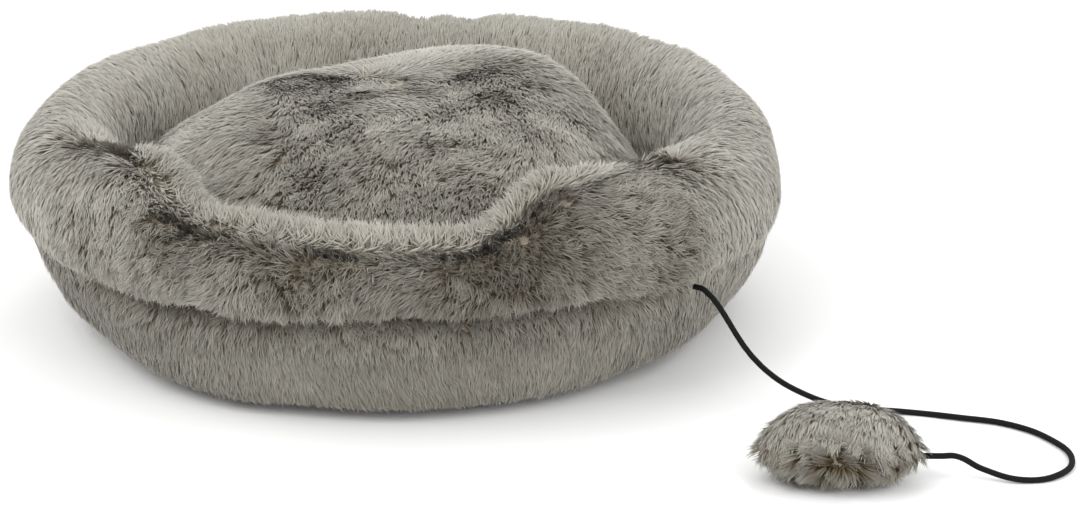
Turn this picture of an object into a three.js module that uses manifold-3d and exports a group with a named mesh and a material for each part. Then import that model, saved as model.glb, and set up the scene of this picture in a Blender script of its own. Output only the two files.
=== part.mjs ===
// Oval plush pet bed: a stuffed wall with a low front entry, a padded floor, a loose domed cushion,
// and a plush toy on an elastic cord that is caught in the side seam.
// Millimetres, +Z up. The origin is the centre of the flat base, and the entry faces -Y.
import * as THREE from "three";
import { mergeVertices } from "three/addons/utils/BufferGeometryUtils.js";
import Module from "manifold-3d";

// Overall sizes
const BED_LENGTH = 500; // outside the wall, left to right
const BED_DEPTH = 430; // outside the wall, entry to rear
const REAR_HEIGHT = 155; // top of the wall at the rear
const SIDE_HEIGHT = 140; // top of the wall at each side
const ENTRY_HEIGHT = 110; // top of the wall at the entry
const WALL_THICKNESS = 78; // stuffed wall at the sides and the rear
const ENTRY_THICKNESS = 60; // stuffed wall at the entry

// Cloth and clearances
const COVER = 3; // plush cover, its backing and pressed pile
const BASE_CLOTH = 1.8; // woven cloth under the bed
const LINING = 1.6; // cloth over the floor wadding
const GAP = 0.35; // between pieces that lie on each other
const SEAM_GAP = 0.8; // between two panels along their seam

// Wall
const SIDE_SEAM_HEIGHT = 69; // seam between the wall covers and the lower band
const LOWER_BELLY_HEIGHT = 24; // where the lower band turns in
const FRONT_TUCK = 32; // how far the foot is drawn in under the wall, front and rear
const SIDE_TUCK = 58; // and at the sides
const REAR_POWER = 2.3; // of the outline's rear half, which is squarer than an ellipse
const FRONT_POWER = 2; // of the outline's front half, an ellipse
const ENTRY_FLAT_ANGLE = 19; // degrees each side of the front that stay low
const ENTRY_FULL_ANGLE = 34; // degrees each side of the front where the wall is full height
const SHOULDER_SEAM_ANGLE = 54; // degrees each side of the front, to the shoulder seams
const STEP_ANGLE = 9; // degrees between sections of the wall, which divides every seam angle
const SPLINE_STEPS = 2; // points on a section per control point

// Floor
const FLOOR_WADDING = 20;
const FLOOR_INSET = 4; // floor edge to the wall's filling

// Cushion
const SIDE_CLEARANCE = 7; // between the cushion and the wall, left and right
const END_CLEARANCE = 3; // and at its front and rear
const CUSHION_OFFSET = -3; // towards the entry, where the wall is thinner
const CUSHION_CROWN = 71; // above its seam
const CUSHION_BELLY = 56; // below its seam
const CUSHION_SIDES = 32;

// Toy
const TOY_LENGTH = 104;
const TOY_WIDTH = 62;
const TOY_CROWN = 31; // above its widest line
const TOY_BELLY = 14; // below its widest line
const TOY_SIDES = 20;
const TOY_FROM_EXIT = new THREE.Vector2(84, -99.5); // on the floor, from where the cord leaves the wall
const TOY_TURN = 6; // degrees about the vertical

// Cord
const CORD_DIAMETER = 3.4;
const CORD_ANGLE = -90 + SHOULDER_SEAM_ANGLE; // it leaves at the foot of the right shoulder seam
const CORD_STEPS = 46;
const CORD_CLEARANCE = 0.3; // round the cord in its bore, and between its round ends and the knots' tails
const KNOT_DIAMETER = 7.5;
const KNOT_DEPTH = 9; // knot's centre inside the face of the cover

// Seats of the stacked layers
const WALL_FOOT = BASE_CLOTH + GAP + COVER + GAP; // underside of the wall's filling
const WADDING_BOTTOM = BASE_CLOTH + GAP;
const LINING_BOTTOM = WADDING_BOTTOM + FLOOR_WADDING + GAP;
const FLOOR_TOP = LINING_BOTTOM + LINING;
const COVER_FACE = GAP + COVER; // outer face of a cover above its filling

const wasm = await Module();
wasm.setup();

const halfLength = BED_LENGTH / 2 - COVER_FACE; // of the wall's filling
const halfDepth = BED_DEPTH / 2 - COVER_FACE;
const cushionLength = BED_LENGTH - 2 * (WALL_THICKNESS + SIDE_CLEARANCE);
const cushionDepth = BED_DEPTH - 2 * (WALL_THICKNESS + END_CLEARANCE);
const { lerp, smoothstep, degToRad, radToDeg } = THREE.MathUtils;

/** Degrees between an angle and the middle of the entry, from 0 to 180. */
function awayFromEntry(degrees) {
  return Math.abs(THREE.MathUtils.euclideanModulo(degrees + 270, 360) - 180);
}

/** Share of the full wall at an angle: 0 in the middle of the entry and 1 past the shoulders. */
function wallShare(degrees) {
  return smoothstep(awayFromEntry(degrees), ENTRY_FLAT_ANGLE, ENTRY_FULL_ANGLE);
}

/** Height of the top of the wall's filling at an angle. */
function fillingTop(degrees) {
  const side = lerp(SIDE_HEIGHT, REAR_HEIGHT, smoothstep(awayFromEntry(degrees), 70, 165));
  return lerp(ENTRY_HEIGHT, side, wallShare(degrees)) - COVER_FACE;
}

/** Thickness of the wall's filling at an angle. */
function fillingThickness(degrees) {
  return lerp(ENTRY_THICKNESS, WALL_THICKNESS, wallShare(degrees)) - 2 * COVER_FACE;
}

/** How far the foot of the wall is drawn in at an angle. */
function footTuck(degrees) {
  return lerp(FRONT_TUCK, SIDE_TUCK, Math.cos(degToRad(degrees)) ** 2);
}

const SEAM_CONTROL = 2; // of the section, at the side seam
const RIM_CONTROL = 4; // of the section, at the entry's rim seam
const FLOOR_CONTROL = 8; // of the section, where the wall meets the floor

/** The wall filling's section as [outward, up] control points, from the foot round the outside. */
function sectionControls(degrees) {
  const top = fillingTop(degrees);
  const thick = fillingThickness(degrees);
  const tuck = footTuck(degrees);
  const belly = lerp(SIDE_SEAM_HEIGHT, top, 0.36);
  const shoulder = lerp(SIDE_SEAM_HEIGHT, top, 0.8);
  return [
    [-tuck, WALL_FOOT],
    [-0.58 * tuck, LOWER_BELLY_HEIGHT],
    [-5, SIDE_SEAM_HEIGHT],
    [0, belly],
    [-0.16 * thick, shoulder],
    [-0.5 * thick, top],
    [-0.86 * thick, shoulder],
    [-thick, belly],
    [5 - thick, FLOOR_TOP + SEAM_GAP],
    [9 - thick, WALL_FOOT],
  ];
}

/** The section as a closed loop of points, each moved outwards from the filling by offset. */
function section(degrees, offset) {
  const controls = sectionControls(degrees).map(([out, up]) => new THREE.Vector3(out, up, 0));
  const curve = new THREE.CatmullRomCurve3(controls, true, "centripetal");
  const count = controls.length * SPLINE_STEPS;
  const loop = Array.from({ length: count }, (_, i) => curve.getPoint(i / count));
  return loop.map((point, i) => {
    const along = loop[(i + 1) % count].clone().sub(loop[(i + count - 1) % count]).normalize();
    return new THREE.Vector2(point.x + along.y * offset, point.y - along.x * offset);
  });
}

/** Where the widest line of the wall's filling runs at an angle, as shares of the half length and depth. */
function outlineShares(degrees) {
  const [across, along] = [Math.cos(degToRad(degrees)), Math.sin(degToRad(degrees))];
  const power = along > 0 ? REAR_POWER : FRONT_POWER;
  const shares = [across, along].map((share) => Math.sign(share) * Math.abs(share) ** (2 / power));
  return { shares, power };
}

/** The direction that points straight out of the wall at an angle. */
function outwardAt(degrees) {
  const { shares, power } = outlineShares(degrees);
  const [across, along] = shares.map((share) => Math.sign(share) * Math.abs(share) ** (power - 1));
  return new THREE.Vector3(across / halfLength, along / halfDepth, 0).normalize();
}

/** A point of the bed from an angle, and a distance outwards and a height on the section there. */
function place(degrees, outward, up) {
  const [across, along] = outlineShares(degrees).shares;
  const widest = new THREE.Vector3(halfLength * across, halfDepth * along, up);
  return widest.addScaledVector(outwardAt(degrees), outward);
}

/** The angles from one end of a stretch of wall to the other, about STEP_ANGLE apart. */
function anglesBetween(from, to) {
  const steps = Math.round((to - from) / STEP_ANGLE);
  return Array.from({ length: steps + 1 }, (_, i) => lerp(from, to, i / steps));
}

/** A geometry with its shared vertices merged and its collapsed triangles dropped. */
function welded(geometry) {
  geometry.deleteAttribute("normal");
  geometry.deleteAttribute("uv");
  const merged = mergeVertices(geometry, 1e-3);
  const corners = Array.from(merged.index.array);
  const kept = [];
  for (let i = 0; i < corners.length; i += 3) {
    const [a, b, c] = corners.slice(i, i + 3);
    if (a !== b && b !== c && c !== a) kept.push(a, b, c);
  }
  merged.setIndex(kept);
  merged.computeVertexNormals();
  return merged;
}

/** A geometry from a list of quads, each of four points in order, split along its shorter diagonal. */
function fromQuads(quads) {
  const corners = quads.flatMap(([a, b, c, d]) =>
    a.distanceTo(c) <= b.distanceTo(d) ? [a, b, c, a, c, d] : [b, c, d, b, d, a],
  );
  return welded(new THREE.BufferGeometry().setFromPoints(corners));
}

/** Quads between two loops of points, facing out when the loops run clockwise seen from the first. */
function bridge(loopA, loopB) {
  return loopA.map((point, j) => {
    const next = (j + 1) % loopA.length;
    return [point, loopB[j], loopB[next], loopA[next]];
  });
}

/** A run of loops joined side by side, with each end closed by the quads that capWith returns. */
function sweep(loops, capWith) {
  const quads = loops.slice(1).flatMap((loop, i) => bridge(loops[i], loop));
  const firstCap = capWith(loops[0]);
  const lastCap = capWith(loops.at(-1)).map((quad) => quad.reverse());
  return fromQuads([...quads, ...firstCap, ...lastCap]);
}

/** A stuffed stretch of the wall between two angles. */
function wallFilling(from, to) {
  const loops = anglesBetween(from, to).map((degrees) =>
    section(degrees, 0).map((point) => place(degrees, point.x, point.y)),
  );
  return sweep(loops, (loop) => {
    const middle = loop.reduce((sum, p) => sum.add(p), new THREE.Vector3()).divideScalar(loop.length);
    return loop.map((point, j) => [middle, point, loop[(j + 1) % loop.length], middle]);
  });
}

/** The two faces of a cover across the wall, between two control points of the section. */
function coverFaces(degrees, firstControl, lastControl) {
  return [COVER_FACE, GAP].map((offset) => {
    const line = section(degrees, offset).slice(
      firstControl * SPLINE_STEPS,
      lastControl * SPLINE_STEPS + 1,
    );
    const trimmed = [
      [line[0], line[1]],
      [line.at(-1), line.at(-2)],
    ].map(([end, beside]) => end.clone().lerp(beside, SEAM_GAP / 2 / end.distanceTo(beside)));
    return [trimmed[0], ...line.slice(1, -1), trimmed[1]].map((p) => place(degrees, p.x, p.y));
  });
}

/** A panel of cover over the wall between two angles and two control points of the section. */
function wallPanel(from, to, firstControl, lastControl) {
  const loops = anglesBetween(from, to).map((degrees) => {
    const [outer, inner] = coverFaces(degrees, firstControl, lastControl);
    return [...outer, ...inner.reverse()];
  });
  return sweep(loops, (loop) =>
    Array.from({ length: loop.length / 2 - 1 }, (_, j) => [
      loop[j],
      loop[j + 1],
      loop[loop.length - 2 - j],
      loop[loop.length - 1 - j],
    ]),
  );
}

/** A flat sheet whose edge is a distance outwards that edgeAt gives at each angle. */
function ovalSheet(edgeAt, bottom, thickness) {
  const angles = anglesBetween(0, 360).slice(0, -1);
  const outline = angles.map((degrees) => place(degrees, edgeAt(degrees), 0));
  const shape = new THREE.Shape(outline.map((point) => new THREE.Vector2(point.x, point.y)));
  const sheet = new THREE.ExtrudeGeometry(shape, { depth: thickness, bevelEnabled: false });
  return sheet.translate(0, 0, bottom);
}

/** A padded oval form with its widest line at height 0, fuller than an ellipse by PILLOW_POWER. */
const PILLOW_POWER = 0.72;
function pillow(length, width, crown, belly, sides) {
  const steps = 6; // from the widest line to the top
  const profile = [];
  for (let i = -steps; i <= steps; i += 1) {
    const angle = ((i / steps) * Math.PI) / 2;
    const reach = Math.abs(i) === steps ? 0 : Math.cos(angle) ** PILLOW_POWER;
    const rise = Math.sign(i) * Math.abs(Math.sin(angle)) ** (1 / PILLOW_POWER);
    profile.push(new THREE.Vector2(reach, rise * (i > 0 ? crown : belly)));
  }
  const form = new THREE.LatheGeometry(profile, sides);
  form.rotateX(Math.PI / 2).scale(length / 2, width / 2, 1);
  return welded(form);
}

/** A manifold-3d solid of a geometry. */
function solid(geometry) {
  const form = welded(geometry.index ? geometry.toNonIndexed() : geometry.clone());
  const vertProperties = new Float32Array(form.attributes.position.array);
  const triVerts = new Uint32Array(form.index.array);
  return new wasm.Manifold(new wasm.Mesh({ numProp: 3, vertProperties, triVerts }));
}

/** The geometry of a manifold-3d solid. */
function geometryOf(body) {
  const { vertProperties, triVerts } = body.getMesh();
  const result = new THREE.BufferGeometry();
  result.setAttribute("position", new THREE.BufferAttribute(new Float32Array(vertProperties), 3));
  result.setIndex(new THREE.BufferAttribute(new Uint32Array(triVerts), 1));
  result.computeVertexNormals();
  return result;
}

/** The geometry that is left of one geometry when others are cut from it. */
function cut(geometry, ...cutters) {
  return geometryOf(cutters.reduce((body, cutter) => body.subtract(solid(cutter)), solid(geometry)));
}

/** One geometry joined with others that run into it. */
function join(geometry, ...others) {
  return geometryOf(others.reduce((body, other) => body.add(solid(other)), solid(geometry)));
}

/** A round rod of a diameter from one point to another. */
function rod(from, to, diameter) {
  const length = from.distanceTo(to);
  const form = new THREE.CylinderGeometry(diameter / 2, diameter / 2, length, 12);
  form.translate(0, length / 2, 0);
  const turn = new THREE.Quaternion().setFromUnitVectors(
    new THREE.Vector3(0, 1, 0),
    to.clone().sub(from).normalize(),
  );
  return form.applyQuaternion(turn).translate(from.x, from.y, from.z);
}

/** A ball of a diameter about a point. */
function ball(centre, diameter) {
  return new THREE.IcosahedronGeometry(diameter / 2, 1).translate(centre.x, centre.y, centre.z);
}

// Finishes
const PLUSH = { color: 0xb2aea2, roughness: 0.95 };
const WADDING = { color: 0xf0efea, roughness: 1 };
const WOVEN = { color: 0x3b3a38, roughness: 0.85 };
const LINEN = { color: 0x8d897e, roughness: 0.9 };
const ELASTIC = { color: 0x161616, roughness: 0.7 };

/** Adds a named mesh with its own material to a group. */
function add(group, name, geometry, { color, roughness }) {
  const material = new THREE.MeshStandardMaterial({ color, roughness, metalness: 0 });
  const mesh = new THREE.Mesh(geometry, material);
  mesh.name = name;
  group.add(mesh);
}

/** A knot whose short tail reaches the face of a cover, the room it needs, and where the cord takes over. */
function anchorage(face, outward) {
  const along = (distance) => face.clone().addScaledVector(outward, distance);
  const knotRoom = KNOT_DIAMETER + 2 * CORD_CLEARANCE;
  const boreRoom = CORD_DIAMETER + 2 * CORD_CLEARANCE;
  return {
    knot: join(ball(along(-KNOT_DEPTH), KNOT_DIAMETER), rod(along(-KNOT_DEPTH), face, CORD_DIAMETER)),
    room: join(ball(along(-KNOT_DEPTH), knotRoom), rod(along(-KNOT_DEPTH), along(KNOT_DEPTH), boreRoom)),
    pivot: along(CORD_DIAMETER / 2 + CORD_CLEARANCE),
    clear: along(3 * CORD_DIAMETER),
  };
}

const seamPoint = section(CORD_ANGLE, COVER_FACE)[SEAM_CONTROL * SPLINE_STEPS];
const wallAnchor = anchorage(place(CORD_ANGLE, seamPoint.x, seamPoint.y), outwardAt(CORD_ANGLE));
const toyAnchor = anchorage(new THREE.Vector3(TOY_LENGTH / 2, 0, 0), new THREE.Vector3(1, 0, 0));

/** A point of the bed's frame from one of the toy's own frame, whose origin is on its widest line. */
function fromToy(point) {
  const turned = point.clone().applyAxisAngle(new THREE.Vector3(0, 0, 1), degToRad(TOY_TURN));
  const { x, y } = wallAnchor.pivot;
  return turned.add(new THREE.Vector3(x + TOY_FROM_EXIT.x, y + TOY_FROM_EXIT.y, TOY_BELLY));
}

/** The wall: fillings, covers and the lower band, with a bore where the cord leaves the right shoulder. */
function wall() {
  const group = new THREE.Group();
  const seamTurn = radToDeg(SEAM_GAP / 2 / halfDepth);
  const fillingTurn = radToDeg(GAP / 2 / halfDepth);
  const right = -90 + SHOULDER_SEAM_ANGLE;
  const left = -90 - SHOULDER_SEAM_ANGLE;
  const fillings = [
    ["entry", left, right],
    ["right", right, 90],
    ["left", 90, left + 360],
  ];
  const covers = [
    ["entry_front", left, right, SEAM_CONTROL, RIM_CONTROL],
    ["entry_rim", left, right, RIM_CONTROL, FLOOR_CONTROL],
    ["right_wall", right, 90, SEAM_CONTROL, FLOOR_CONTROL],
    ["left_wall", 90, left + 360, SEAM_CONTROL, FLOOR_CONTROL],
  ];
  for (const [side, from, to] of fillings) {
    const filling = wallFilling(from + fillingTurn, to - fillingTurn);
    add(group, `${side}_wall_filling`, side === "left" ? filling : cut(filling, wallAnchor.room), WADDING);
  }
  for (const [side, from, to, ...controls] of covers) {
    const cover = wallPanel(from + seamTurn, to - seamTurn, ...controls);
    const holdsCord = side === "entry_front" || side === "right_wall";
    add(group, `${side}_cover`, holdsCord ? cut(cover, wallAnchor.room) : cover, PLUSH);
  }
  const frontBand = wallPanel(-180 + seamTurn, -seamTurn, 0, SEAM_CONTROL);
  add(group, "front_lower_band", cut(frontBand, wallAnchor.room), PLUSH);
  add(group, "rear_lower_band", wallPanel(seamTurn, 180 - seamTurn, 0, SEAM_CONTROL), PLUSH);
  add(group, "cord_anchor_knot", wallAnchor.knot, ELASTIC);
  return group;
}

/** The floor: the woven cloth that the bed stands on, the wadding and the lining. */
function floor() {
  const group = new THREE.Group();
  const clothEdge = (degrees) => -footTuck(degrees);
  const floorEdge = (degrees) => 5 - fillingThickness(degrees) - FLOOR_INSET;
  const floorLayers = [
    ["floor_wadding", WADDING_BOTTOM, FLOOR_WADDING, WADDING],
    ["floor_lining", LINING_BOTTOM, LINING, LINEN],
  ];
  add(group, "base_cloth", ovalSheet(clothEdge, 0, BASE_CLOTH), WOVEN);
  for (const [name, bottom, thickness, finish] of floorLayers) {
    add(group, name, ovalSheet(floorEdge, bottom, thickness), finish);
  }
  return group;
}

/** The loose cushion: its filling between a top cover and a base cover. */
function cushion() {
  const group = new THREE.Group();
  const grown = (extra) =>
    pillow(
      cushionLength - 2 * COVER_FACE + 2 * extra,
      cushionDepth - 2 * COVER_FACE + 2 * extra,
      CUSHION_CROWN - COVER_FACE + extra,
      CUSHION_BELLY - COVER_FACE + extra,
      CUSHION_SIDES,
    );
  const block = BED_LENGTH; // larger than the cushion each way
  const belowSeam = new THREE.BoxGeometry(block, block, block).translate(0, 0, (SEAM_GAP - block) / 2);
  const aboveSeam = new THREE.BoxGeometry(block, block, block).translate(0, 0, (block - SEAM_GAP) / 2);
  add(group, "cushion_filling", grown(0), WADDING);
  add(group, "cushion_top_cover", cut(grown(COVER_FACE), grown(GAP), belowSeam), PLUSH);
  add(group, "cushion_base_cover", cut(grown(COVER_FACE), grown(GAP), aboveSeam), PLUSH);
  group.position.set(0, CUSHION_OFFSET, FLOOR_TOP + GAP + CUSHION_BELLY);
  return group;
}

/** The toy: its cover with a mouth for the cord, its filling and the knot that holds the cord in it. */
function toy() {
  const group = new THREE.Group();
  const grown = (extra) =>
    pillow(
      TOY_LENGTH - 2 * COVER_FACE + 2 * extra,
      TOY_WIDTH - 2 * COVER_FACE + 2 * extra,
      TOY_CROWN - COVER_FACE + extra,
      TOY_BELLY - COVER_FACE + extra,
      TOY_SIDES,
    );
  add(group, "toy_filling", cut(grown(0), toyAnchor.room), WADDING);
  add(group, "toy_cover", cut(grown(COVER_FACE), grown(GAP), toyAnchor.room), PLUSH);
  add(group, "toy_knot", toyAnchor.knot, ELASTIC);
  group.position.copy(fromToy(new THREE.Vector3()));
  group.rotation.z = degToRad(TOY_TURN);
  return group;
}

/** The elastic cord: from the wall, down to the floor, round a loop and into the toy, with round ends. */
function cord() {
  const onFloor = CORD_DIAMETER / 2 + CORD_CLEARANCE;
  // Each point of the lay: across and along from where the cord leaves the wall, and its share of that height
  const lay = [
    [40.4, -22.5, 0.42],
    [67.4, -26.5, 0.19],
    [95.4, -20.5, 0.05],
    [121.4, -14.5, 0],
    [154.4, -18.5, 0],
    [182.4, -24.5, 0],
    [202.4, -40.5, 0],
    [211.4, -62.5, 0],
    [201.4, -84.5, 0],
    [181.4, -92.5, 0],
    [160.4, -91.5, 0.07],
  ].map(([across, along, share]) => {
    const { x, y, z } = wallAnchor.pivot;
    return new THREE.Vector3(x + across, y + along, lerp(onFloor, z, share));
  });
  const toyEnd = fromToy(toyAnchor.pivot);
  const route = new THREE.CatmullRomCurve3(
    [wallAnchor.pivot, wallAnchor.clear, ...lay, fromToy(toyAnchor.clear), toyEnd],
    false,
    "centripetal",
  );
  const facets = 8;
  const rim = Array.from({ length: facets }, (_, i) =>
    new THREE.Vector2(CORD_DIAMETER / 2, 0).rotateAround(new THREE.Vector2(), (i * 2 * Math.PI) / facets),
  );
  const line = new THREE.ExtrudeGeometry(new THREE.Shape(rim), { steps: CORD_STEPS, extrudePath: route });
  const group = new THREE.Group();
  const ends = [wallAnchor.pivot, toyEnd].map((point) => ball(point, CORD_DIAMETER));
  add(group, "elastic_cord", join(line, ...ends), ELASTIC);
  return group;
}

const parts = new THREE.Group();
parts.add(floor(), wall(), cushion(), cord(), toy());

export default parts;
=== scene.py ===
"""Visual model of an oval plush pet bed with a loose domed cushion and a toy on an elastic cord.

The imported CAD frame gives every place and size. Long pile is grown as real blades on each padded form,
lying, standing or parting as the plush does there. Metres, +Z up, the entry faces -Y.
"""
import logging
import math
from dataclasses import dataclass, field
from enum import Enum
from typing import Callable, Sequence

import bpy
import numpy as np
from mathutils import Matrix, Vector
from mathutils.kdtree import KDTree


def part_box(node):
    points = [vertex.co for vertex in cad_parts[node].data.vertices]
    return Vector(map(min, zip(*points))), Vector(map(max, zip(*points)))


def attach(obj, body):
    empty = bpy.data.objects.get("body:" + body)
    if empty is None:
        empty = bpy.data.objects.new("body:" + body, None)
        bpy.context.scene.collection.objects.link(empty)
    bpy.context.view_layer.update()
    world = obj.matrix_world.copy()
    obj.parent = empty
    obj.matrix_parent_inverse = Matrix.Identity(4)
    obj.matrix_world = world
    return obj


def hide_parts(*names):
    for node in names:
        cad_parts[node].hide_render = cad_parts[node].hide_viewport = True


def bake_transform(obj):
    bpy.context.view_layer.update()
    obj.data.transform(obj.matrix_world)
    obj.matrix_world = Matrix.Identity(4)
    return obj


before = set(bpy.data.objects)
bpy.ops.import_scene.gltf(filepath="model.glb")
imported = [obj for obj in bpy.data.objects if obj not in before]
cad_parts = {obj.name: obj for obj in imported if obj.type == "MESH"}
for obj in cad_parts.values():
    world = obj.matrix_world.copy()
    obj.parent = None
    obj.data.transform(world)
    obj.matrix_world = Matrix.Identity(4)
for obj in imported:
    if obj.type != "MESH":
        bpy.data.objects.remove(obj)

logging.basicConfig(level=logging.INFO, format="%(message)s")
LOG = logging.getLogger("pet_bed")

Array = np.ndarray
UP = np.array([0.0, 0.0, 1.0])


class Body(str, Enum):
    """The CAD bodies that pieces ride on."""

    BED = "bed"
    CUSHION = "cushion"
    CORD = "cord"
    TOY = "toy"


class Slot(str, Enum):
    """The record's material slots."""

    PLUSH = "plush"
    BASE_CLOTH = "base_cloth"
    LINING = "lining"
    ELASTIC = "elastic"


# ---------------------------------------------------------------- helpers


def unit(vectors: Array) -> Array:
    """Scale vectors to length one.

    Args:
        vectors: Vectors along the last axis.

    Returns:
        The same directions with length one.
    """
    length = np.linalg.norm(vectors, axis=-1, keepdims=True)
    return vectors / np.maximum(length, 1e-9)


def ease(value: Array, start: float, end: float) -> Array:
    """Ease a value from 0 to 1 between two bounds.

    Args:
        value: Numbers to ease.
        start: Where the result is 0.
        end: Where the result is 1.

    Returns:
        Shares from 0 to 1.
    """
    share = np.clip((np.asarray(value, float) - start) / (end - start), 0.0, 1.0)
    return share * share * (3.0 - 2.0 * share)


def bump(value: Array, centre: float, width: float) -> Array:
    """Give a bell curve that is 1 at its centre.

    Args:
        value: Where to read the curve.
        centre: Its middle.
        width: Distance at which it falls to about a third.

    Returns:
        Heights from 0 to 1.
    """
    return np.exp(-(((np.asarray(value, float) - centre) / width) ** 2))


def drift(points: Array, size: float, seed: int, waves: int = 7) -> Array:
    """Give a smooth random field made of waves in random directions.

    Args:
        points: Positions, shape (..., 3), in metres.
        size: Size of its patches in metres.
        seed: Number that fixes the field.
        waves: Number of waves added up.

    Returns:
        Values mostly within -1 to 1, one for each position.
    """
    rng = np.random.default_rng(seed)
    total = np.zeros(points.shape[:-1])
    for _ in range(waves):
        direction = unit(rng.normal(size=3)) * (2.0 * math.pi / size) * rng.uniform(0.35, 0.8)
        total += np.sin(points @ direction + rng.uniform(0.0, 2.0 * math.pi))
    return total / math.sqrt(waves)


def deselect() -> None:
    """Deselect every object."""
    for obj in bpy.context.selected_objects:
        obj.select_set(False)


def add_object(name: str, data: bpy.types.ID) -> bpy.types.Object:
    """Put a new object in the scene.

    Args:
        name: Name of the object.
        data: Its mesh, curve, camera or light.

    Returns:
        The linked object.
    """
    obj = bpy.data.objects.new(name, data)
    bpy.context.scene.collection.objects.link(obj)
    return obj


def mesh_object(name: str, vertices: Array, faces: Sequence[Sequence[int]]) -> bpy.types.Object:
    """Make a mesh object at the origin.

    Args:
        name: Name of the object and its mesh.
        vertices: Positions in metres.
        faces: Corner indices of each face.

    Returns:
        The linked object.
    """
    mesh = bpy.data.meshes.new(name)
    mesh.from_pydata(vertices.tolist() if isinstance(vertices, np.ndarray) else vertices, [], faces)
    mesh.update()
    return add_object(name, mesh)


def smooth(obj: bpy.types.Object) -> None:
    """Shade an object's faces smooth.

    Args:
        obj: The mesh object.
    """
    obj.data.polygons.foreach_set("use_smooth", np.ones(len(obj.data.polygons), dtype=bool))
    obj.data.update()


# ---------------------------------------------------------------- materials


class NodeTree:
    """A thin wrapper that adds and links shader nodes."""

    def __init__(self, tree: bpy.types.NodeTree) -> None:
        self.tree = tree

    def add(self, kind: str, **values: object) -> bpy.types.Node:
        """Add a node and set its properties and inputs.

        Args:
            kind: The node's type name.
            values: Properties by name, or inputs by name with spaces as underscores.

        Returns:
            The node.
        """
        node = self.tree.nodes.new(kind)
        for name, value in values.items():
            if hasattr(node, name):
                setattr(node, name, value)
            else:
                node.inputs[name.replace("_", " ")].default_value = value
        return node

    def link(self, source: bpy.types.NodeSocket, target: bpy.types.NodeSocket) -> None:
        """Link an output to an input.

        Args:
            source: The output socket.
            target: The input socket.
        """
        self.tree.links.new(source, target)

    def ramp(self, stops: Sequence[tuple[float, tuple[float, float, float]]]) -> bpy.types.Node:
        """Add a colour ramp.

        Args:
            stops: Place and linear colour of each stop.

        Returns:
            The ramp node.
        """
        node = self.tree.nodes.new("ShaderNodeValToRGB")
        elements = node.color_ramp.elements
        while len(elements) < len(stops):
            elements.new(0.5)
        for element, (place, colour) in zip(elements, stops):
            element.position = place
            element.color = (*colour, 1.0)
        return node


def new_material(name: str, **values: object) -> tuple[bpy.types.Material, NodeTree, bpy.types.Node]:
    """Make a material with one shader.

    Args:
        name: Name of the material.
        values: The shader's inputs by name, with spaces as underscores.

    Returns:
        The material, its node tree and its shader.
    """
    material = bpy.data.materials.new(name)
    material.use_nodes = True
    shader = material.node_tree.nodes["Principled BSDF"]
    for label, value in values.items():
        shader.inputs[label.replace("_", " ")].default_value = value
    return material, NodeTree(material.node_tree), shader


def linear(red: int, green: int, blue: int) -> tuple[float, float, float]:
    """Turn a display colour into a linear one.

    Args:
        red: Red from 0 to 255.
        green: Green from 0 to 255.
        blue: Blue from 0 to 255.

    Returns:
        The linear colour.
    """

    def channel(value: int) -> float:
        share = value / 255.0
        return share / 12.92 if share <= 0.04045 else ((share + 0.055) / 1.055) ** 2.4

    return channel(red), channel(green), channel(blue)


def new_group(name: str, inputs: Sequence[tuple[str, str, object]], outputs: Sequence[tuple[str, str]]):
    """Make an empty shader node group.

    Args:
        name: Name of the group.
        inputs: Name, socket type and default of each input.
        outputs: Name and socket type of each output.

    Returns:
        The group's tree, its input node and its output node.
    """
    group = bpy.data.node_groups.new(name, "ShaderNodeTree")
    for label, kind, default in inputs:
        socket = group.interface.new_socket(label, in_out="INPUT", socket_type=kind)
        socket.default_value = default
    for label, kind in outputs:
        group.interface.new_socket(label, in_out="OUTPUT", socket_type=kind)
    tree = NodeTree(group)
    return tree, tree.add("NodeGroupInput"), tree.add("NodeGroupOutput")


def patch_group() -> bpy.types.NodeTree:
    """Build the group that shifts a colour by soft patches, as the light falls on brushed pile.

    Returns:
        The node group.
    """
    tree, start, end = new_group(
        "PilePatches",
        [("Color", "NodeSocketColor", (0.5, 0.5, 0.5, 1.0)), ("Strength", "NodeSocketFloat", 0.3)],
        [("Color", "NodeSocketColor")],
    )
    place = tree.add("ShaderNodeTexCoord")
    wide = tree.add("ShaderNodeTexNoise", Scale=26.0, Detail=3.0, Roughness=0.55)
    fine = tree.add("ShaderNodeTexNoise", Scale=170.0, Detail=2.0, Roughness=0.6)
    both = tree.add("ShaderNodeMath", operation="ADD")
    centred = tree.add("ShaderNodeMath", operation="SUBTRACT")
    centred.inputs[1].default_value = 1.0
    scaled = tree.add("ShaderNodeMath", operation="MULTIPLY_ADD")
    scaled.inputs[2].default_value = 1.0
    gain = tree.add("ShaderNodeMix", data_type="RGBA", blend_type="MULTIPLY")
    gain.inputs[0].default_value = 1.0
    tree.link(place.outputs["Object"], wide.inputs["Vector"])
    tree.link(place.outputs["Object"], fine.inputs["Vector"])
    tree.link(wide.outputs["Fac"], both.inputs[0])
    tree.link(fine.outputs["Fac"], both.inputs[1])
    tree.link(both.outputs[0], centred.inputs[0])
    tree.link(centred.outputs[0], scaled.inputs[0])
    tree.link(start.outputs["Strength"], scaled.inputs[1])
    tree.link(start.outputs["Color"], gain.inputs[6])
    tree.link(scaled.outputs[0], gain.inputs[7])
    tree.link(gain.outputs[2], end.inputs["Color"])
    return tree.tree


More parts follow.
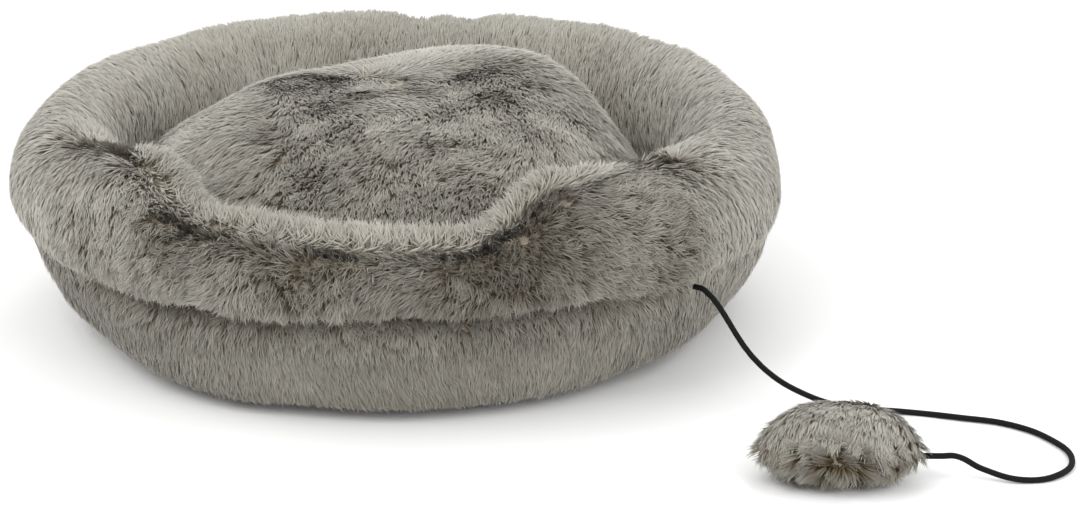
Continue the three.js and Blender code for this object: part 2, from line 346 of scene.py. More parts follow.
@dataclass(frozen=True)
class PileFinish:
    """Dyed plush pile: dark at its root and frosted at its tip."""

    name: str
    root: tuple[int, int, int] = (76, 59, 34)
    middle: tuple[int, int, int] = (115, 102, 78)
    upper: tuple[int, int, int] = (158, 154, 143)
    tip: tuple[int, int, int] = (196, 194, 186)
    roughness: float = 0.78

    def build(self) -> bpy.types.Material:
        """Build the material, which reads each blade's tone and height from its own map.

        Returns:
            The material.
        """
        material, tree, shader = new_material(
            self.name, Roughness=self.roughness, Specular_IOR_Level=0.25, Sheen_Weight=0.2, Sheen_Roughness=0.5
        )
        blade = tree.add("ShaderNodeUVMap", uv_map="OFBake")
        split = tree.add("ShaderNodeSeparateXYZ")
        along = tree.ramp(
            [
                (0.0, linear(*self.root)),
                (0.3, linear(*self.middle)),
                (0.62, linear(*self.upper)),
                (1.0, linear(*self.tip)),
            ]
        )
        tone = tree.ramp([(0.0, (0.3, 0.285, 0.26)), (0.5, (0.82, 0.81, 0.79)), (1.0, (1.25, 1.25, 1.25))])
        gain = tree.add("ShaderNodeMix", data_type="RGBA", blend_type="MULTIPLY")
        gain.inputs[0].default_value = 1.0
        tree.link(blade.outputs["UV"], split.inputs["Vector"])
        tree.link(split.outputs["Y"], along.inputs["Fac"])
        tree.link(split.outputs["X"], tone.inputs["Fac"])
        tree.link(along.outputs["Color"], gain.inputs[6])
        tree.link(tone.outputs["Color"], gain.inputs[7])
        tree.link(gain.outputs[2], shader.inputs["Base Color"])
        return material


@dataclass(frozen=True)
class BackingFinish:
    """The dense short undercoat and backing that shows between the blades."""

    name: str
    colour: tuple[int, int, int] = (150, 141, 125)
    patches: bpy.types.NodeTree | None = None

    def build(self) -> bpy.types.Material:
        """Build the material.

        Returns:
            The material.
        """
        material, tree, shader = new_material(self.name, Roughness=0.95, Specular_IOR_Level=0.1)
        patch = tree.add("ShaderNodeGroup", node_tree=self.patches)
        patch.inputs["Color"].default_value = (*linear(*self.colour), 1.0)
        patch.inputs["Strength"].default_value = 0.9
        place = tree.add("ShaderNodeTexCoord")
        fibre = tree.add("ShaderNodeTexNoise", Scale=700.0, Detail=3.0, Roughness=0.7)
        relief = tree.add("ShaderNodeBump", Strength=0.8, Distance=0.002)
        tree.link(place.outputs["Object"], fibre.inputs["Vector"])
        tree.link(fibre.outputs["Fac"], relief.inputs["Height"])
        tree.link(patch.outputs["Color"], shader.inputs["Base Color"])
        tree.link(relief.outputs["Normal"], shader.inputs["Normal"])
        return material


@dataclass(frozen=True)
class ElasticFinish:
    """Braided round elastic."""

    name: str
    colour: tuple[int, int, int] = (17, 17, 18)
    strands_per_metre: float = 420.0

    def build(self) -> bpy.types.Material:
        """Build the material.

        Returns:
            The material.
        """
        material, tree, shader = new_material(self.name, Roughness=0.8, Specular_IOR_Level=0.2)
        place = tree.add("ShaderNodeTexCoord")
        turns = []
        for slant in (1.0, -1.0):
            turn = tree.add("ShaderNodeMapping")
            turn.inputs["Rotation"].default_value = (0.4, 0.6, slant * math.pi / 4.0)
            wave = tree.add("ShaderNodeTexWave", Scale=self.strands_per_metre, Distortion=0.6)
            tree.link(place.outputs["Object"], turn.inputs["Vector"])
            tree.link(turn.outputs["Vector"], wave.inputs["Vector"])
            turns.append(wave)
        braid = tree.add("ShaderNodeMath", operation="MAXIMUM")
        tree.link(turns[0].outputs["Fac"], braid.inputs[0])
        tree.link(turns[1].outputs["Fac"], braid.inputs[1])
        low = tuple(0.35 * value for value in linear(*self.colour))
        colour = tree.ramp([(0.2, low), (0.9, linear(*self.colour))])
        relief = tree.add("ShaderNodeBump", Strength=0.5, Distance=0.0004)
        tree.link(braid.outputs[0], colour.inputs["Fac"])
        tree.link(braid.outputs[0], relief.inputs["Height"])
        tree.link(colour.outputs["Color"], shader.inputs["Base Color"])
        tree.link(relief.outputs["Normal"], shader.inputs["Normal"])
        return material


@dataclass(frozen=True)
class WovenFinish:
    """Plain woven cloth, with rows of grip dots where it is asked for."""

    name: str
    colour: tuple[int, int, int]
    threads_per_metre: float = 900.0
    dots: bool = False
    dot_pitch: float = 0.011
    patches: bpy.types.NodeTree | None = None

    def build(self) -> bpy.types.Material:
        """Build the material.

        Returns:
            The material.
        """
        material, tree, shader = new_material(self.name, Roughness=0.88)
        place = tree.add("ShaderNodeTexCoord")
        weave = tree.add("ShaderNodeMath", operation="MULTIPLY")
        for index, direction in enumerate(("X", "Y")):
            wave = tree.add("ShaderNodeTexWave", Scale=self.threads_per_metre / (2.0 * math.pi))
            wave.bands_direction = direction
            tree.link(place.outputs["Object"], wave.inputs["Vector"])
            tree.link(wave.outputs["Fac"], weave.inputs[index])
        patch = tree.add("ShaderNodeGroup", node_tree=self.patches)
        patch.inputs["Strength"].default_value = 0.35
        dark = tuple(0.6 * value for value in linear(*self.colour))
        threads = tree.ramp([(0.0, dark), (1.0, linear(*self.colour))])
        tree.link(weave.outputs[0], threads.inputs["Fac"])
        tree.link(threads.outputs["Color"], patch.inputs["Color"])
        relief = tree.add("ShaderNodeBump", Strength=0.5, Distance=0.0006)
        tree.link(relief.outputs["Normal"], shader.inputs["Normal"])
        if self.dots:
            spread = tree.add("ShaderNodeVectorMath", operation="MULTIPLY")
            spread.inputs[1].default_value = (1.0 / self.dot_pitch, 1.0 / self.dot_pitch, 0.0)
            cells = tree.add("ShaderNodeTexVoronoi", Scale=1.0, Randomness=0.0)
            dot = tree.ramp([(0.2, (1.0, 1.0, 1.0)), (0.24, (0.0, 0.0, 0.0))])
            mix = tree.add("ShaderNodeMix", data_type="RGBA")
            mix.inputs[7].default_value = (*linear(28, 28, 29), 1.0)
            height = tree.add("ShaderNodeMath", operation="ADD")
            tree.link(place.outputs["Object"], spread.inputs[0])
            tree.link(spread.outputs[0], cells.inputs["Vector"])
            tree.link(cells.outputs["Distance"], dot.inputs["Fac"])
            tree.link(dot.outputs["Color"], mix.inputs[0])
            tree.link(patch.outputs["Color"], mix.inputs[6])
            tree.link(mix.outputs[2], shader.inputs["Base Color"])
            tree.link(weave.outputs[0], height.inputs[0])
            tree.link(dot.outputs["Color"], height.inputs[1])
            tree.link(height.outputs[0], relief.inputs["Height"])
        else:
            tree.link(patch.outputs["Color"], shader.inputs["Base Color"])
            tree.link(weave.outputs[0], relief.inputs["Height"])
        return material


class Finishes:
    """Every material of the bed, built once."""

    def __init__(self) -> None:
        patches = patch_group()
        self.pile = PileFinish("plush_pile").build()
        self.toy_pile = PileFinish("toy_pile", root=(80, 60, 32), middle=(122, 105, 74)).build()
        self.backing = BackingFinish("plush_backing", patches=patches).build()
        self.elastic = ElasticFinish("braided_elastic").build()
        self.lining = WovenFinish("floor_lining_cloth", (150, 145, 133), patches=patches).build()
        self.base = WovenFinish("grip_base_cloth", (66, 65, 63), dots=True, patches=patches).build()


# ---------------------------------------------------------------- surfaces that carry pile


@dataclass
class Samples:
    """Places on a surface, with their frames and their positions on its grid."""

    point: Array
    normal: Array
    across: Array
    along: Array
    u: Array
    v: Array


@dataclass
class Surface:
    """A grid of points that is closed along its first axis.

    The first axis runs round the form, and the second from one edge of the grid to the other.
    """

    points: Array
    u_values: Array
    v_values: Array
    closed_v: bool = False
    normals: Array = field(init=False)
    across: Array = field(init=False)
    along: Array = field(init=False)

    def __post_init__(self) -> None:
        self.measure()

    def measure(self) -> None:
        """Work out the directions along both axes and the outward normals."""
        around = np.roll(self.points, -1, 0) - np.roll(self.points, 1, 0)
        if self.closed_v:
            onward = np.roll(self.points, -1, 1) - np.roll(self.points, 1, 1)
        else:
            onward = np.gradient(self.points, axis=1)
        self.across = unit(around)
        self.normals = unit(np.cross(self.across, unit(onward)))
        self.along = unit(np.cross(self.normals, self.across))

    def push(self, distance: Array) -> None:
        """Move the surface along its normals.

        Args:
            distance: Outward distance at each grid point, in metres.
        """
        self.points = self.points + self.normals * np.asarray(distance)[..., None]
        self.measure()

    def quads(self) -> list[tuple[int, int, int, int]]:
        """List the grid's faces, facing out.

        Returns:
            Corner indices of each face.
        """
        rows, columns = self.points.shape[:2]
        last = columns if self.closed_v else columns - 1
        faces = []
        for i in range(rows):
            following = (i + 1) % rows
            for j in range(last):
                above = (j + 1) % columns
                corners = (i, j), (following, j), (following, above), (i, above)
                faces.append(tuple(row * columns + column for row, column in corners))
        return faces

    def scatter(self, rng: np.random.Generator, density: float, weight: Array) -> Samples:
        """Scatter places evenly over the surface.

        Args:
            rng: Random numbers.
            density: Places per square metre where the weight is 1.
            weight: Share of the density at each grid point.

        Returns:
            The places.
        """
        rows, columns = self.points.shape[:2]
        last = columns if self.closed_v else columns - 1
        p = self.points[:, :last]
        right = np.roll(self.points, -1, 0)[:, :last]
        up = np.roll(self.points, -1, 1)[:, :last]
        cell = np.linalg.norm(np.cross(right - p, up - p), axis=-1) * weight[:, :last]
        count = int(cell.sum() * density)
        pick = rng.choice(cell.size, size=count, p=(cell / cell.sum()).ravel())
        i, j = np.divmod(pick, last)
        s, t = rng.random(count), rng.random(count)
        following, above = (i + 1) % rows, (j + 1) % columns

        def blend(values: Array) -> Array:
            extra = (slice(None),) + (None,) * (values.ndim - 2)
            low = values[i, j] * (1 - s)[extra] + values[following, j] * s[extra]
            high = values[i, above] * (1 - s)[extra] + values[following, above] * s[extra]
            return low * (1 - t)[extra] + high * t[extra]

        step_u = 360.0 / rows
        step_v = self.v_values[1] - self.v_values[0]
        return Samples(
            blend(self.points),
            unit(blend(self.normals)),
            unit(blend(self.across)),
            unit(blend(self.along)),
            self.u_values[i] + s * step_u,
            self.v_values[j] + t * step_v,
        )


@dataclass
class Pile:
    """How the pile grows at each of a set of places."""

    length: Array
    lift: Array  # degrees between the blade and the surface, half way up
    comb: Array  # direction that it lies in, as a vector
    clump: Array  # 0 for loose blades, 1 for locks whose tips meet
    # Tone is each blade's own lightness of colour, and in places also painted light and painted shade.
    tone: Array  # 0 for dark blades, 1 for light ones
    depth: Array  # 0 where only the pale tips show, 1 where dark roots do
    stray: Array  # spread of the blades' directions, in radians


def nearest(seeds: Array, points: Array) -> Array:
    """Find the nearest seed to each point.

    Args:
        seeds: Positions to choose from.
        points: Positions to find them for.

    Returns:
        Index of a seed for each point.
    """
    tree = KDTree(len(seeds))
    for index, place in enumerate(seeds.tolist()):
        tree.insert(place, index)
    tree.balance()
    return np.fromiter((tree.find(place)[1] for place in points.tolist()), int, len(points))


@dataclass
class Pelt:
    """Grows pile on a surface: each blade stands in a tuft, and each tuft leans into a lock."""

    surface: Surface
    style: Callable[[Samples], Pile]
    material: bpy.types.Material
    body: Body
    seed: int
    density: float = 940000.0  # blades per square metre
    tuft_density: float = 62000.0
    lock_density: float = 15000.0
    blade_width: float = 0.00066
    tuft_pull: float = 0.6  # where the pile clumps most
    longest_pull: float = 0.008
    root_depth: float = 0.0004
    skyward: float = 0.6  # turn of the blades' faces towards the light above
    glow: float = 0.35  # light that the pile passes down to its lower sides
    floor: float = 0.0006

    STATIONS = np.array([0.0, 0.5, 1.0])
    WIDTHS = np.array([0.9, 1.0, 0.0])

    def __post_init__(self) -> None:
        self.rng = np.random.default_rng(self.seed)
        full = np.ones(self.surface.points.shape[:2])
        self.tufts = self.surface.scatter(self.rng, self.tuft_density, full).point
        self.locks = self.surface.scatter(self.rng, self.lock_density, full).point
        self.lock_of_tuft = nearest(self.locks, self.tufts)
        self.tuft_luck = self.rng.normal(size=(len(self.tufts), 3))
        self.lock_luck = self.rng.normal(size=(len(self.locks), 3))

    def grow(self, name: str, weight: Array) -> bpy.types.Object:
        """Grow the pile of one panel.

        Args:
            name: Name of the piece.
            weight: Share of the density at each grid point.

        Returns:
            The piece.
        """
        rng = self.rng
        at = self.surface.scatter(rng, self.density, weight)
        pile = self.style(at)
        count = len(at.point)
        tuft = nearest(self.tufts, at.point)
        lock = self.lock_of_tuft[tuft]
        tuft_luck, lock_luck = self.tuft_luck[tuft], self.lock_luck[lock]
        comb = unit(pile.comb - (pile.comb * at.normal).sum(-1, keepdims=True) * at.normal)
        side = np.cross(at.normal, comb)
        swing = pile.stray * (rng.normal(0.0, 0.8, count) + 0.7 * tuft_luck[:, 0])
        swing = swing + 0.35 * pile.clump * lock_luck[:, 0]
        lying = comb * np.cos(swing)[:, None] + side * np.sin(swing)[:, None]
        length = pile.length * rng.uniform(0.75, 1.1, count) * (1.0 + 0.06 * tuft_luck[:, 1])
        lift = pile.lift * (1.0 + 0.25 * pile.clump * lock_luck[:, 1]) + rng.normal(0.0, 3.0, count)
        curl = 0.6 + 0.4 * np.clip(pile.depth, 0.0, 1.0)
        start = np.radians(np.clip(lift + 22.0 * curl, 2.0, 88.0))
        finish = np.radians(np.clip(lift - 10.0 * curl, -1.0, 82.0))
        heading = [lying * np.cos(a)[:, None] + at.normal * np.sin(a)[:, None] for a in (start, finish)]
        share = self.STATIONS[None, :, None]
        path = heading[0][:, None] * (share - share**2 / 2.0) + heading[1][:, None] * (share**2 / 2.0)
        loose = self.tuft_pull * np.clip(0.08 + 2.2 * pile.clump[:, None], 0.0, 1.0)
        pull = loose * self.flat(self.tufts[tuft] - at.point, at.normal)
        pull = pull + pile.clump[:, None] * self.flat(self.locks[lock] - at.point, at.normal)
        reach = np.linalg.norm(pull, axis=-1, keepdims=True)
        pull = pull * np.minimum(1.0, self.longest_pull / np.maximum(reach, 1e-6))
        root = at.point - at.normal * self.root_depth
        line = root[:, None] + path * length[:, None, None] + pull[:, None] * share**1.3
        noise = (0.10 + 0.16 * np.clip(pile.depth, 0.0, 1.0))[:, None] * rng.normal(size=(count, 3))
        facing = unit(at.normal + noise + self.skyward * UP)
        wide = unit(np.cross(unit(heading[0] + heading[1]), facing))
        broad = (1.0 + 0.6 * (1.0 - np.clip(pile.depth, 0.0, 1.0))) * rng.uniform(0.7, 1.3, count)
        half = 0.5 * self.blade_width * broad[:, None, None] * self.WIDTHS[:, None]
        left, right = line - wide[:, None] * half, line + wide[:, None] * half
        blades = np.stack([left[:, 0], right[:, 0], left[:, 1], right[:, 1], line[:, 2]], axis=1)
        blades[..., 2] = np.maximum(blades[..., 2], self.floor)
        mixed = rng.normal(0.0, 0.045, count) + 0.035 * tuft_luck[:, 2] + 0.03 * lock_luck[:, 2]
        tone = pile.tone + mixed * (0.55 + 0.9 * pile.depth)
        shade = unit(at.normal + 0.25 * facing + 0.1 * lying + self.glow * UP)
        dark = 0.42 + 0.58 * np.clip(pile.depth, 0.0, 1.0)
        height = 1.0 - (1.0 - self.STATIONS) * dark[:, None]
        return self.build(name, blades, np.clip(tone, 0.02, 0.98), height, shade)

    @staticmethod
    def flat(vectors: Array, normals: Array) -> Array:
        """Take away the part of each vector that lies along its normal.

        Args:
            vectors: The vectors.
            normals: Unit normals.

        Returns:
            Vectors along the surface.
        """
        return vectors - (vectors * normals).sum(-1, keepdims=True) * normals

    def build(self, name: str, blades: Array, tone: Array, height: Array, shade: Array) -> bpy.types.Object:
        """Make the mesh of all blades, with each blade's tone and height in its map.

        Args:
            name: Name of the piece.
            blades: The five points of each blade.
            tone: Tone of each blade.
            height: How far up the pile's colours each of its three stations lies.
            shade: The way that each blade faces the light.

        Returns:
            The piece.
        """
        count = len(blades)
        pattern = np.array([0, 1, 3, 2, 2, 3, 4])
        loops = (np.arange(count)[:, None] * 5 + pattern).ravel()
        totals = np.tile([4, 3], count)
        starts = np.concatenate([[0], np.cumsum(totals)[:-1]])
        mesh = bpy.data.meshes.new(name)
        mesh.vertices.add(count * 5)
        mesh.vertices.foreach_set("co", blades.astype(np.float32).ravel())
        mesh.loops.add(len(loops))
        mesh.loops.foreach_set("vertex_index", loops.astype(np.int32))
        mesh.polygons.add(len(totals))
        mesh.polygons.foreach_set("loop_start", starts.astype(np.int32))
        uv = np.empty((count, len(pattern), 2), np.float32)
        uv[..., 0] = tone[:, None]
        uv[..., 1] = np.clip(np.repeat(height, [2, 2, 1], axis=1)[:, pattern], 0.01, 0.99)
        mesh.uv_layers.new(name="OFBake").data.foreach_set("uv", uv.ravel())
        mesh.update(calc_edges=True)
        obj = add_object(name, mesh)
        obj.data.materials.append(self.material)
        smooth(obj)
        mesh.normals_split_custom_set_from_vertices(np.repeat(shade, 5, axis=0))
        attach(obj, self.body.value)
        LOG.info("%s: %d blades, %d triangles", name, count, count * 3)
        return obj


# ---------------------------------------------------------------- the bed


@dataclass
class Wall:
    """The stuffed wall with its low entry, seams and shoulder pinches."""

    finishes: Finishes
    entry_height: float = 0.115
    side_height: float = 0.140
    rear_height: float = 0.155
    wall_thickness: float = 0.078
    entry_thickness: float = 0.060
    seam_height: float = 0.069
    belly_height: float = 0.024
    foot_height: float = 0.0055
    front_tuck: float = 0.032
    side_tuck: float = 0.058
    rear_power: float = 2.3
    flat_angle: float = 19.0
    full_angle: float = 34.0
    shoulder_angle: float = 54.0
    rear_angle: float = 117.0
    band_angle: float = 90.0
    ground_gap: float = 0.003
    floor_height: float = 0.0293
    skin: float = 0.0050  # depth of the padded form under the cover's face
    inner_skin: float = 0.0040  # and on the side of the nest
    left_pinch: tuple[float, float] = (-57.0, 5.55)  # angle from the entry's middle, place on the section
    right_pinch: tuple[float, float] = (60.0, 4.85)
    rings: int = 400
    steps: int = 12  # grid points per control point of the section

    SIDE_SEAM = 2.0
    RIM = 4.0
    FLOOR = 8.0

    def __post_init__(self) -> None:
        low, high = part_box("left_wall_cover")
        self.half_length = -low[0]
        self.half_depth = high[1]
        self.surface = self.form()
        self.pinches = np.array([self.spot(a - 90.0, b) for a, b in (self.left_pinch, self.right_pinch)])
        self.shape_details()

    def away(self, degrees: Array) -> Array:
        """Give the angle from the middle of the entry, negative on the left.

        Args:
            degrees: Angles round the bed, where -90 is the middle of the entry.

        Returns:
            Angles from -180 to 180.
        """
        return (np.asarray(degrees, float) + 270.0) % 360.0 - 180.0

    def section(self, degrees: Array) -> Array:
        """Give the section's control points at each angle, as (outward, up).

        Args:
            degrees: Angles round the bed.

        Returns:
            Control points, shape (n, 10, 2).
        """
        apart = np.abs(self.away(degrees))
        share = ease(apart, self.flat_angle, self.full_angle)
        side = self.side_height + (self.rear_height - self.side_height) * ease(apart, 70.0, 165.0)
        top = self.entry_height + (side - self.entry_height) * share
        thick = self.entry_thickness + (self.wall_thickness - self.entry_thickness) * share
        tuck = self.front_tuck + (self.side_tuck - self.front_tuck) * np.cos(np.radians(degrees)) ** 2
        belly = self.seam_height + 0.36 * (top - self.seam_height)
        shoulder = self.seam_height + 0.8 * (top - self.seam_height)
        flat = np.ones_like(top)
        rows = [
            (-0.9 * tuck, 0.6 * self.foot_height * flat),
            (-0.42 * tuck, 0.85 * self.belly_height * flat),
            (-0.004 * flat, self.seam_height * flat),
            (0.0 * flat, belly),
            (-0.15 * thick, shoulder),
            (-0.5 * thick, top),
            (-0.85 * thick, shoulder),
            (-thick, belly),
            (0.004 - thick, self.floor_height * flat),
            (0.010 - thick, self.foot_height * flat),
        ]
        return np.stack([np.stack(row, -1) for row in rows], 1)

    def form(self) -> Surface:
        """Sweep the section round the bed.

        Returns:
            The surface of the padded wall, under its pile.
        """
        degrees = np.arange(self.rings) * 360.0 / self.rings
        controls = self.section(degrees)
        count = controls.shape[1]
        stations = np.arange(count * self.steps) / self.steps
        index, share = stations.astype(int), (stations % 1.0)[None, :, None]
        p = [controls[:, (index + k) % count] for k in (-1, 0, 1, 2)]
        curve = 0.5 * (
            2 * p[1]
            + (p[2] - p[0]) * share
            + (2 * p[0] - 5 * p[1] + 4 * p[2] - p[3]) * share**2
            + (3 * p[1] - p[0] - 3 * p[2] + p[3]) * share**3
        )
        cos, sin = np.cos(np.radians(degrees)), np.sin(np.radians(degrees))
        power = np.where(sin > 0, self.rear_power, 2.0)
        across = np.sign(cos) * np.abs(cos) ** (2 / power)
        along = np.sign(sin) * np.abs(sin) ** (2 / power)
        outward = np.stack([
            np.sign(across) * np.abs(across) ** (power - 1) / self.half_length,
            np.sign(along) * np.abs(along) ** (power - 1) / self.half_depth,
        ], -1)
        outward = unit(outward)
        x = self.half_length * across[:, None] + curve[..., 0] * outward[:, :1]
        y = self.half_depth * along[:, None] + curve[..., 0] * outward[:, 1:]
        surface = Surface(np.stack([x, y, curve[..., 1]], -1), degrees, stations, closed_v=True)
        depth = self.skin + (self.inner_skin - self.skin) * ease(stations, 5.0, 6.0)[None]
        surface.push(np.broadcast_to(-depth, surface.points.shape[:2]))
        surface.points[..., 2] = np.maximum(surface.points[..., 2], self.ground_gap)
        surface.measure()
        return surface

    def spot(self, degrees: float, station: float) -> Array:
        """Give a point of the form.

        Args:
            degrees: Angle round the bed.
            station: Place on the section, in control points.

        Returns:
            The position.
        """
        i = int(round((degrees % 360.0) * self.rings / 360.0)) % self.rings
        return self.surface.points[i, int(round(station * self.steps))]

    def rim_seam(self, away: Array) -> Array:
        """Give the rim seam's place on the section, which climbs over the crest at each shoulder.

        Args:
            away: Angles from the middle of the entry.

        Returns:
            Places on the section, in control points.
        """
        left = np.minimum(4.42 + 0.65 * (np.abs(away) / 40.0) ** 1.5, 5.5)
        right = np.minimum(4.42 + 0.6 * (np.abs(away) / 40.0) ** 2, 5.0)
        return np.where(away < 0.0, left, right)

    def shape_details(self) -> None:
        """Press in the seams and pinches, and add the wall's soft lumps."""
        surface = self.surface
        away = self.away(surface.u_values)[:, None]
        station = surface.v_values[None, :]
        front = 1.0 - ease(np.abs(away), 50.0, 78.0)
        depth = drift(surface.points, 0.16, 11) * 0.0024 + drift(surface.points, 0.05, 12) * 0.0012
        deep_seam = 1.0 - ease(np.abs(away - 4.0), 30.0, 48.0)
        depth -= (0.001 + 0.001 * front + 0.008 * deep_seam) * bump(station, self.SIDE_SEAM - 0.05, 0.17)
        rim = 1.0 - ease(np.abs(away), 34.0, 54.0)
        depth -= 0.0034 * rim * bump(station - self.rim_seam(away), 0.0, 0.26)
        depth += 0.0022 * rim * bump(station - self.rim_seam(away), 0.65, 0.45)
        upper = ease(station, 2.0, 2.3) * (1.0 - ease(station, 7.0, 8.0))
        for seam in (self.shoulder_angle, -self.shoulder_angle):
            depth -= 0.0014 * bump(away, seam, 2.2) * upper
        depth -= 0.0060 * bump(np.abs(away), 177.0, 3.0) * upper
        for centre in self.pinches:
            far = np.linalg.norm(surface.points - centre, axis=-1)
            depth -= 0.0035 * bump(far, 0.0, 0.024)
        surface.push(depth)
        surface.points[..., 2] = np.maximum(surface.points[..., 2], self.ground_gap)

    def style(self, at: Samples) -> Pile:
        """Comb the wall's pile.

        Args:
            at: Places on the wall.

        Returns:
            The pile there.
        """
        away, station = self.away(at.u), at.v
        apart = np.abs(away)
        rim = self.rim_seam(away)
        seam_ends = np.where(away < 0.0, 1.0 - 0.7 * ease(apart, 36.0, 58.0), 1.0 - ease(apart, 32.0, 50.0))
        reach = np.where(away < 0.0, 1.0 - ease(apart, 36.0, 56.0), 1.0 - ease(apart, 50.0, 64.0))
        panel = reach * ease(station, 1.9, 2.05) * (1.0 - ease(station - rim, -0.1, 0.1))
        hem = (1.0 - ease(apart, 40.0, 80.0)) * ease(station, 1.45, 1.9) * (1.0 - ease(station, 1.95, 2.05))
        roll = (1.0 - ease(apart, 32.0, 54.0)) * ease(station - rim, -0.08, 0.24)
        roll = roll * (1.0 - ease(station - rim, 1.1, 1.9))
        nest = ease(station, 5.5, 6.2) * (1.0 - roll)
        patch, speck = drift(at.point, 0.055, 26), drift(at.point, 0.017, 27)
        swirl = drift(at.point, 0.09, 21) * (0.15 + 0.7 * panel)
        swirl = swirl + drift(at.point, 0.03, 22) * (0.1 + 0.4 * panel)
        swirl = swirl + 0.6 * panel * ease(away, 0.0, 40.0)
        turned = math.pi * roll
        down = at.across * np.sin(turned)[:, None] - at.along * np.cos(turned)[:, None]
        comb = down * np.cos(swirl)[:, None] + at.across * np.sin(swirl)[:, None]
        rough = panel * np.clip(0.75 + 0.3 * patch + 0.25 * speck, 0.0, 1.3)
        rough = rough * (1.0 - 0.35 * ease(-away, 15.0, 40.0))
        lift = 4.0 + 35.0 * rough + 14.0 * hem + 20.0 * roll + 3.0 * nest + 2.0 * drift(at.point, 0.04, 23)
        clump = 0.02 + 0.30 * rough + 0.25 * hem + 0.24 * roll + 0.08 * nest
        depth = 0.04 + 0.95 * rough + 0.6 * hem + 0.4 * roll + 0.25 * nest * (1.0 + 0.6 * patch)
        stray = 0.18 + 0.42 * rough + 0.30 * roll + 0.15 * hem
        length = 0.0115 + 0.0006 * drift(at.point, 0.05, 24) + 0.0025 * roll
        middle = 0.07 + 0.34 * bump(away, 15.0, 28.0)
        tone = 0.52 - 0.15 * ease(apart, 110.0, 150.0) * (1.0 - 0.5 * nest)
        tone = tone - middle * panel - 0.08 * hem - 0.12 * roll - 0.04 * nest
        tone = tone + 0.035 * drift(at.point, 0.06, 25) - 0.09 * panel * np.maximum(patch, 0.0)
        # Painted shade: the lower band, where the wall curves under to the floor, is darkened.
        tone = tone - 0.30 * (1.0 - ease(station, 1.4, 2.3))
        for centre, size, strength in zip(self.pinches, (0.030, 0.034), (0.85, 0.5)):
            from_pinch = at.point - centre
            far = np.linalg.norm(from_pinch, axis=-1)
            near, core = strength * bump(far, 0.0, size), strength * bump(far, 0.0, 0.019)
            comb = unit(comb * (1.0 - near)[:, None] + unit(from_pinch) * (1.5 * near)[:, None])
            lift = lift * (1.0 - near) + 32.0 * near
            clump = np.maximum(clump, 0.5 * near)
            stray = np.maximum(stray, 0.35 * near)
            length = length * (1.0 - 0.25 * near)
            lift = lift * (1.0 - core) + 42.0 * core
            stray = np.maximum(stray, 0.9 * core)
            depth = np.maximum(depth, 0.9 * near)
            # Painted shade: the pinch's hollow core is darkened a little.
            tone = tone - 0.03 * core
        # At the side seam the pile shows its dark roots, and below its tone is also lowered by 0.20: painted
        # shade in the seam's crease.
        side_seam = bump(station, self.SIDE_SEAM - 0.05, 0.09) * (1.0 - ease(np.abs(away - 4.0), 28.0, 50.0))
        rim_seam = bump(station - rim, 0.0, 0.15) * seam_ends
        crease = np.maximum(side_seam, rim_seam)
        turn = bump(station - rim, 0.08, 0.24) * (1.0 - ease(apart, 48.0, 62.0))
        crease = crease * np.clip(0.7 + 0.35 * drift(at.point, 0.02, 28), 0.2, 1.0)
        return Pile(
            length * (1.0 - 0.25 * crease), np.clip(lift + 10.0 * crease + 8.0 * turn, 4.0, 75.0), comb,
            np.clip(clump + 0.25 * crease, 0.0, 0.8), tone - 0.20 * side_seam + 0.09 * turn,
            np.maximum(depth, 0.75 * crease), stray + 0.2 * crease + 0.25 * turn,
        )

    def build(self) -> None:
        """Build the padded form and its pile, and put them on the bed's body."""
        points = self.surface.points
        skin = mesh_object("wall_padding", points.reshape(-1, 3), self.surface.quads())
        smooth(skin)
        skin.data.materials.append(self.finishes.backing)
        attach(skin, Body.BED.value)
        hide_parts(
            "entry_front_cover", "entry_rim_cover", "right_wall_cover", "left_wall_cover",
            "front_lower_band", "rear_lower_band", "entry_wall_filling", "right_wall_filling",
            "left_wall_filling", "cord_anchor_knot",
        )
        away = self.away(self.surface.u_values)[:, None]
        station = self.surface.v_values[None, :]
        apart = np.abs(away)
        front, rear, above = apart <= self.shoulder_angle, apart > self.rear_angle, station >= self.SIDE_SEAM
        growing = (station < self.FLOOR) * (1.0 - 0.7 * ease(station, 6.6, 7.4))
        growing = growing * (0.5 + 0.5 * ease(station, 0.2, 0.8))
        half = {"right": away > 0, "left": away <= 0}
        pelt = Pelt(self.surface, self.style, self.finishes.pile, Body.BED, seed=100)
        for side, part in half.items():
            zones = {
                f"pile_{side}_front_panel": front & above & (station < self.RIM),
                f"pile_{side}_entry_rim": front & (station >= self.RIM),
                f"pile_{side}_shoulder": ~front & ~rear & above,
                f"pile_{side}_rear": rear & above,
                f"pile_{side}_front_band": (apart <= self.band_angle) & ~above,
                f"pile_{side}_rear_band": (apart > self.band_angle) & ~above,
            }
            for name, zone in zones.items():
                pelt.grow(name, growing * zone * part)


